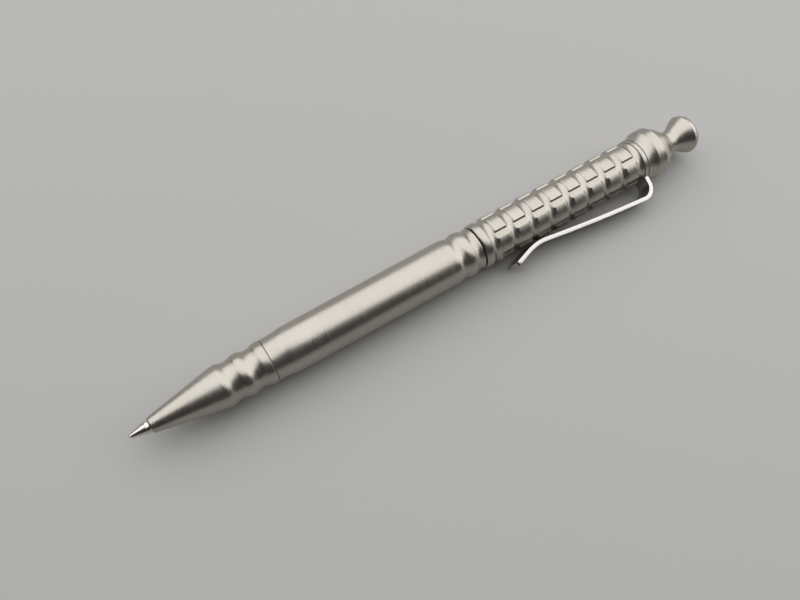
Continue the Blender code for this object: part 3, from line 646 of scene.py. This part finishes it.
def clipLine(ringMiddle):
    # Middle line of the strip: straight out of the ring, round the bend, down the slightly bowed arm, round
    # the ball curve over the land, and up the flare, as arcs and the straight lines that touch them
    bend = np.array([ringMiddle - strip["bend"], strip["crest"] - strip["bend"]])
    low = grip["landRadius"] + strip["ballGap"] + strip["thickness"] / 2
    ball = np.array([ringMiddle - strip["ballSetback"], low + strip["ballRadius"]])
    run, climb = bend[0] - ball[0], ball[1] - bend[1]
    bothRadii = strip["bend"] + strip["ballRadius"]
    slope = math.asin(bothRadii / math.hypot(run, climb)) - math.atan2(climb, run)
    flareAngle = math.radians(strip["flareAngle"])
    post = np.array([(ringMiddle, strip["postStart"]), (ringMiddle, strip["postEnd"])])
    over = arc(bend, strip["bend"], 0, math.pi / 2 + slope, strip["bendPoints"])
    armEnd = ball + strip["ballRadius"] * np.array([math.sin(slope), -math.cos(slope)])
    share = np.linspace(0, 1, strip["armPoints"])[1:-1, None]
    arm = over[-1] + (armEnd - over[-1]) * share
    arm[:, 1] += strip["bow"] * np.sin(math.pi * share[:, 0])
    turn = np.linspace(slope, -flareAngle, strip["ballPoints"])
    sweep = ball + strip["ballRadius"] * np.stack([np.sin(turn), -np.cos(turn)], axis=-1)
    straight = strip["flareLength"] - strip["endRound"]
    ahead = np.array([-math.cos(flareAngle), math.sin(flareAngle)])
    angle = np.linspace(0, math.pi / 2, strip["endPoints"])
    reach = np.concatenate([np.linspace(0, straight, strip["flarePoints"])[1:-1],
                            straight + strip["endRound"] * np.sin(angle)])
    flare = sweep[-1] + ahead * reach[:, None]
    line = np.concatenate([post, over, arm, sweep, flare])
    half = np.full(len(line), strip["half"])
    half[-len(angle):] -= strip["endRound"] * (1 - np.cos(angle))
    return line, half


def buildClip():
    ringFront = spanOf("upper_barrel")[1] + strip["ringGap"]
    ringRear = ringFront + strip["thickness"]
    line, half = clipLine((ringFront + ringRear) / 2)
    ahead = np.gradient(line, axis=0)
    ahead /= np.hypot(*ahead.T)[:, None]
    out = np.stack([ahead[:, 1], -ahead[:, 0]], axis=-1)
    # Section of the strip, a rectangle with small rounded edges; across leaves out the half width
    edge, thick = strip["edge"], strip["thickness"] / 2
    quarter = np.linspace(0, math.pi / 2, strip["edgePoints"])
    signs = [(1, 1), (-1, 1), (-1, -1), (1, -1)]
    across, through, sideOf = [], [], []
    for sx, sy in signs:
        angle = quarter if sx * sy > 0 else quarter[::-1]
        across.append(sx * edge * (np.cos(angle) - 1))
        through.append(sy * (thick - edge + edge * np.sin(angle)))
        sideOf.append(np.full(len(quarter), sx))
    across, through, sideOf = (np.concatenate(part)[None, :] for part in (across, through, sideOf))

    def section(point, normal, halfWidth, shrink=0.0):
        wide = sideOf * (halfWidth - shrink) + across
        deep = through * (1 - shrink / thick)
        return toRow(point[:, :1] + normal[:, :1] * deep, -(point[:, 1:] + normal[:, 1:] * deep), wide)

    body = section(line, out, half[:, None])
    lastPoint, lastNormal, lastHalf = line[-1:], out[-1:], half[-1:, None]
    ends = [section(lastPoint + ahead[-1:] * edge * math.sin(a), lastNormal, lastHalf,
                    edge * (1 - math.cos(a)))
            for a in quarter[1:]]
    tip = np.concatenate([body, *ends])
    middleFront = np.broadcast_to(body[0].mean(axis=0), (1,) + body.shape[1:])
    middleEnd = np.broadcast_to(tip[-1].mean(axis=0), (1,) + body.shape[1:])
    grid = np.concatenate([middleFront, tip, middleEnd])
    # Brushing runs along the strip. Its two faces take different lines, and its narrow sides finer ones.
    steps = np.linalg.norm(np.diff(grid.mean(axis=1), axis=0), axis=1)
    reach = np.concatenate([[0], np.cumsum(steps) / mm])
    girth = sideOf * strip["half"] + across + strip["sidesApart"] * through
    unwrapped = np.stack(np.broadcast_arrays(reach[:, None], girth), axis=-1)
    gridPiece("clipSpring", grid, brushedTitanium, "barrel", ["clip"], closedRows=False,
              unwrapped=unwrapped)
    path = [(ringFront, strip["ringRadius"]), (ringRear, strip["ringRadius"]), (ringRear, strip["ringBore"]),
            (ringFront, strip["ringBore"])]
    gridPiece("clipRing", turnedGrid(softened(path, strip["ringRound"])), blastedTitanium, "barrel",
              ["clip"])


# Refill, spring and seals

refill = {
    "ball": 0.3, "ballSegments": 32, "ballSeat": 0.8, "ballBore": 0.33,
    "tipFace": 0.36, "tipLip": 0.40, "coneEnd": 3.3, "coneStep": 0.06, "belly": 0.12, "plug": 0.92,
    "tube": 1.22, "tubeBore": 1.02, "tubeRound": 0.05, "conePoints": 14, "ballPoints": 20,
    "radius": 3.0, "shoulderLength": 0.8, "shoulderWall": 3.0, "neckBore": 1.32, "wall": 0.4,
}


def buildRefill():
    # Nose tube, point, ball and body: each is a path turned round the axis
    tubeFront, tubeRear = spanOf("refill_nose_tube")
    r = refill["tube"]
    small = pen["smallSegments"]
    tubePath = [(tubeFront, r), (tubeRear, r), (tubeRear, refill["tubeBore"]),
                (tubeFront, refill["tubeBore"])]
    gridPiece("refillNoseTube", turnedGrid(softened(tubePath, refill["tubeRound"]), small), polishedSteel,
              "refill", ["refill_nose_tube"])
    tipRear = spanOf("refill_tip")[1]
    share = np.linspace(0, 1, refill["conePoints"])
    # The cone bellies a little, as the tips of such refills do
    widening = share + refill["belly"] * share * (1 - share)
    cone = np.stack([refill["tipFace"] + (refill["coneEnd"] - refill["tipFace"]) * share,
                     refill["tipLip"] + (r - refill["tipLip"]) * widening], axis=-1)
    seat = [(refill["ballSeat"], 0), (refill["ballSeat"], refill["ballBore"]),
            (refill["tipFace"], refill["ballBore"])]
    plug = [(refill["coneEnd"], r - refill["coneStep"]), (refill["coneEnd"], refill["plug"]),
            (tipRear, refill["plug"]), (tipRear, 0)]
    gridPiece("refillTipCone", turnedGrid(joinedPath(seat, cone, plug), small), polishedSteel, "refill",
              ["refill_tip"], closedRows=False)
    angle = np.linspace(0, math.pi, refill["ballPoints"])
    ballPath = np.stack([refill["ball"] * (1 - np.cos(angle)), refill["ball"] * np.sin(angle)], axis=-1)
    gridPiece("refillBallRound", turnedGrid(ballPath, refill["ballSegments"]), polishedSteel, "refill",
              ["refill_ball"], closedRows=False)
    front, rear = spanOf("refill_body")
    radius = refill["radius"]
    bore = radius - refill["wall"]
    boreFront = front + refill["shoulderWall"]
    bodyPath = [(front, refill["neckBore"]), (front, radius - refill["shoulderLength"]),
                (front + refill["shoulderLength"], radius), (rear, radius), (rear, bore), (boreFront, bore),
                (boreFront, refill["neckBore"])]
    radii = [0, 0.15, 0.3, 0.1, 0, 0, 0]
    gridPiece("refillBodyTube", turnedGrid(softened(bodyPath, radii), small), drawnSteel, "refill",
              ["refill_body"])


seal = {"wire": 0.22, "sides": 24}    # wire is the radius of the ring's section


def buildSeals():
    # Each ring is a small circle turned round the axis, as wide as its solid
    angle = np.linspace(0, math.tau, seal["sides"], endpoint=False)
    for node, body, name in (("nose_o_ring", "nose", "noseSealMoulded"),
                             ("barrel_o_ring", "barrel", "barrelSealMoulded")):
        low, high = spanOf(node)
        nodeLow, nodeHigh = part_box(node)
        outer = (nodeHigh.z - nodeLow.z) / 2 / mm
        path = np.stack([(low + high) / 2 + seal["wire"] * np.cos(angle),
                         outer - seal["wire"] + seal["wire"] * np.sin(angle)], axis=-1)
        gridPiece(name, turnedGrid(path, pen["smallSegments"]), mouldedRubber, body, [node])


spring = {
    "radius": 1.9, "wire": 0.2, "turns": 7, "pointsPerTurn": 40, "sides": 12,    # wire is its radius
    "stillEnd": 4,           # length at each end that rests on the barrel or on the refill, in wire radii
}


def buildSpring():
    # A round wire carried along a helix; the section stands square to the helix at each point
    front, rear = spanOf("return_spring")
    wire = spring["wire"]
    turn = np.linspace(0, math.tau * spring["turns"], spring["turns"] * spring["pointsPerTurn"])[:, None]
    along = front + wire + (rear - front - 2 * wire) * turn / turn[-1]
    lead = (rear - front - 2 * wire) / turn[-1] / spring["radius"]
    ring = np.linspace(0, math.tau, spring["sides"], endpoint=False)[None, :]
    tilt = math.atan(float(lead[0]))
    radius = spring["radius"] + wire * np.cos(ring)
    lift = wire * np.sin(ring)
    x = along + lift * math.cos(tilt)
    turned = turn - lift * math.sin(tilt) / spring["radius"]
    body = toRow(x, radius * np.sin(turned), radius * np.cos(turned))
    first = np.broadcast_to(body[0].mean(axis=0), (1,) + body.shape[1:])
    last = np.broadcast_to(body[-1].mean(axis=0), (1,) + body.shape[1:])
    # Places near the front end, on the barrel, and near the rear end, on the shoulder of the refill, are
    # passed on with the bodies' names, but the spring is fixed where it stands
    still = spring["stillEnd"] * wire
    ends = (float(toRow(place, 0, 0)[0]) for place in (front + still, rear - still))
    carried = ("barrel", "refill", *((x, axisY, axisZ) for x in ends))
    gridPiece("returnSpringWire", np.concatenate([first, body, last]), springWire, carried,
              ["return_spring"], closedRows=False)


buildNose()
buildLowerBarrel()
buildUpperBarrel()
buildCollar()
buildButton()
buildClip()
buildRefill()
buildSeals()
buildSpring()
print("pieces made")


# Floor, light and camera

studio = {
    "floorColour": "#A6A5A3", "floorSize": 6.0, "floorRoughness": 0.6,
    "toothSize": 1.2, "toothBump": 0.03, "toothDepth": 0.2,    # the board's fine tooth; bump is its strength
    "heading": -32.17,                     # degrees; the lamps stand square to the camera's heading
    "lampNear": -0.26, "lampFar": 1.26, "lampWide": 2.8, "lampHigh": 0.6, "lampGlow": 1.65,
    "backAway": 1.4, "backWide": 3.4, "backTall": 0.58, "backGlow": 0.42,
    "sideAway": 1.3, "sideTurn": -104.0, "sideWide": 1.3, "sideTall": 0.7, "sideGlow": 1.2,
    "clearance": 0.02,                     # from the floor to an upright panel
    "roomGlow": 0.04,                      # glow is what a lamp or the room looks like in a mirror
}


def buildFloor():
    half = studio["floorSize"] / 2
    mesh = bpy.data.meshes.new("floor")
    corners = [(-half, -half, 0), (half, -half, 0), (half, half, 0), (-half, half, 0)]
    mesh.from_pydata(corners, [], [(0, 1, 2, 3)])
    material, tree, shader = newMaterial("paintedBoard", 0.0, studio["floorColour"], studio["floorRoughness"])
    place = addNode(tree, "ShaderNodeTexCoord").outputs["Object"]
    tooth = addNode(tree, "ShaderNodeTexNoise", {"Scale": 1 / (studio["toothSize"] * mm), "Detail": 2.0},
                    Vector=place).outputs["Fac"]
    bump = addNode(tree, "ShaderNodeBump",
                   {"Strength": studio["toothBump"], "Distance": studio["toothDepth"] * mm},
                   Height=tooth).outputs["Normal"]
    tree.links.new(bump, shader.inputs["Normal"])
    mesh.materials.append(material)
    floor = bpy.data.objects.new("floor", mesh)
    bpy.context.scene.collection.objects.link(floor)


def addLamp(name, width, length, glow, place, heading, tilt):
    # A lamp's power is its glow times pi times its area. Its place is how far away it is along its heading,
    # and how high.
    lamp = bpy.data.lights.new(name, "AREA")
    lamp.shape = "RECTANGLE"
    lamp.size, lamp.size_y = width, length
    lamp.energy = glow * math.pi * width * length
    away, high = place
    turn = math.radians(heading)
    holder = bpy.data.objects.new(name, lamp)
    holder.location = (-away * math.sin(turn), away * math.cos(turn), high)
    holder.rotation_euler = (math.radians(tilt), 0, turn)
    holder.visible_camera = False
    bpy.context.scene.collection.objects.link(holder)


def addLight():
    # A large soft lamp overhead and mostly behind the pen, a dim upright panel that closes the room behind
    # it, and a brighter one beyond the button, which lights the edges that face that way
    near, far = studio["lampNear"], studio["lampFar"]
    addLamp("softbox", studio["lampWide"], far - near, studio["lampGlow"],
            ((near + far) / 2, studio["lampHigh"]), studio["heading"], 0)
    for name, heading in (("back", studio["heading"]), ("side", studio["sideTurn"])):
        tall = studio[name + "Tall"]
        addLamp(name + "Panel", studio[name + "Wide"], tall, studio[name + "Glow"],
                (studio[name + "Away"], tall / 2 + studio["clearance"]), heading, -90)
    world = bpy.data.worlds.new("room")
    world.use_nodes = True
    room = world.node_tree.nodes["Background"]
    room.inputs["Color"].default_value = (1, 1, 1, 1)
    room.inputs["Strength"].default_value = studio["roomGlow"]
    bpy.context.scene.world = world


view = {
    "place": (-50.132, -59.251, 141.482), "turn": (27.471, -0.737, -32.173), "lens": 33.85, "sensor": 36.0,
}


def addCamera():
    eye = bpy.data.cameras.new("camera")
    eye.lens = view["lens"]
    eye.sensor_width = view["sensor"]
    eye.clip_start = 1 * mm
    holder = bpy.data.objects.new("camera", eye)
    holder.location = [p * mm for p in view["place"]]
    holder.rotation_euler = [math.radians(a) for a in view["turn"]]
    bpy.context.scene.collection.objects.link(holder)
    bpy.context.scene.camera = holder


buildFloor()
addLight()
addCamera()
bpy.context.scene.view_settings.view_transform = "Standard"
print("floor, light and camera made")
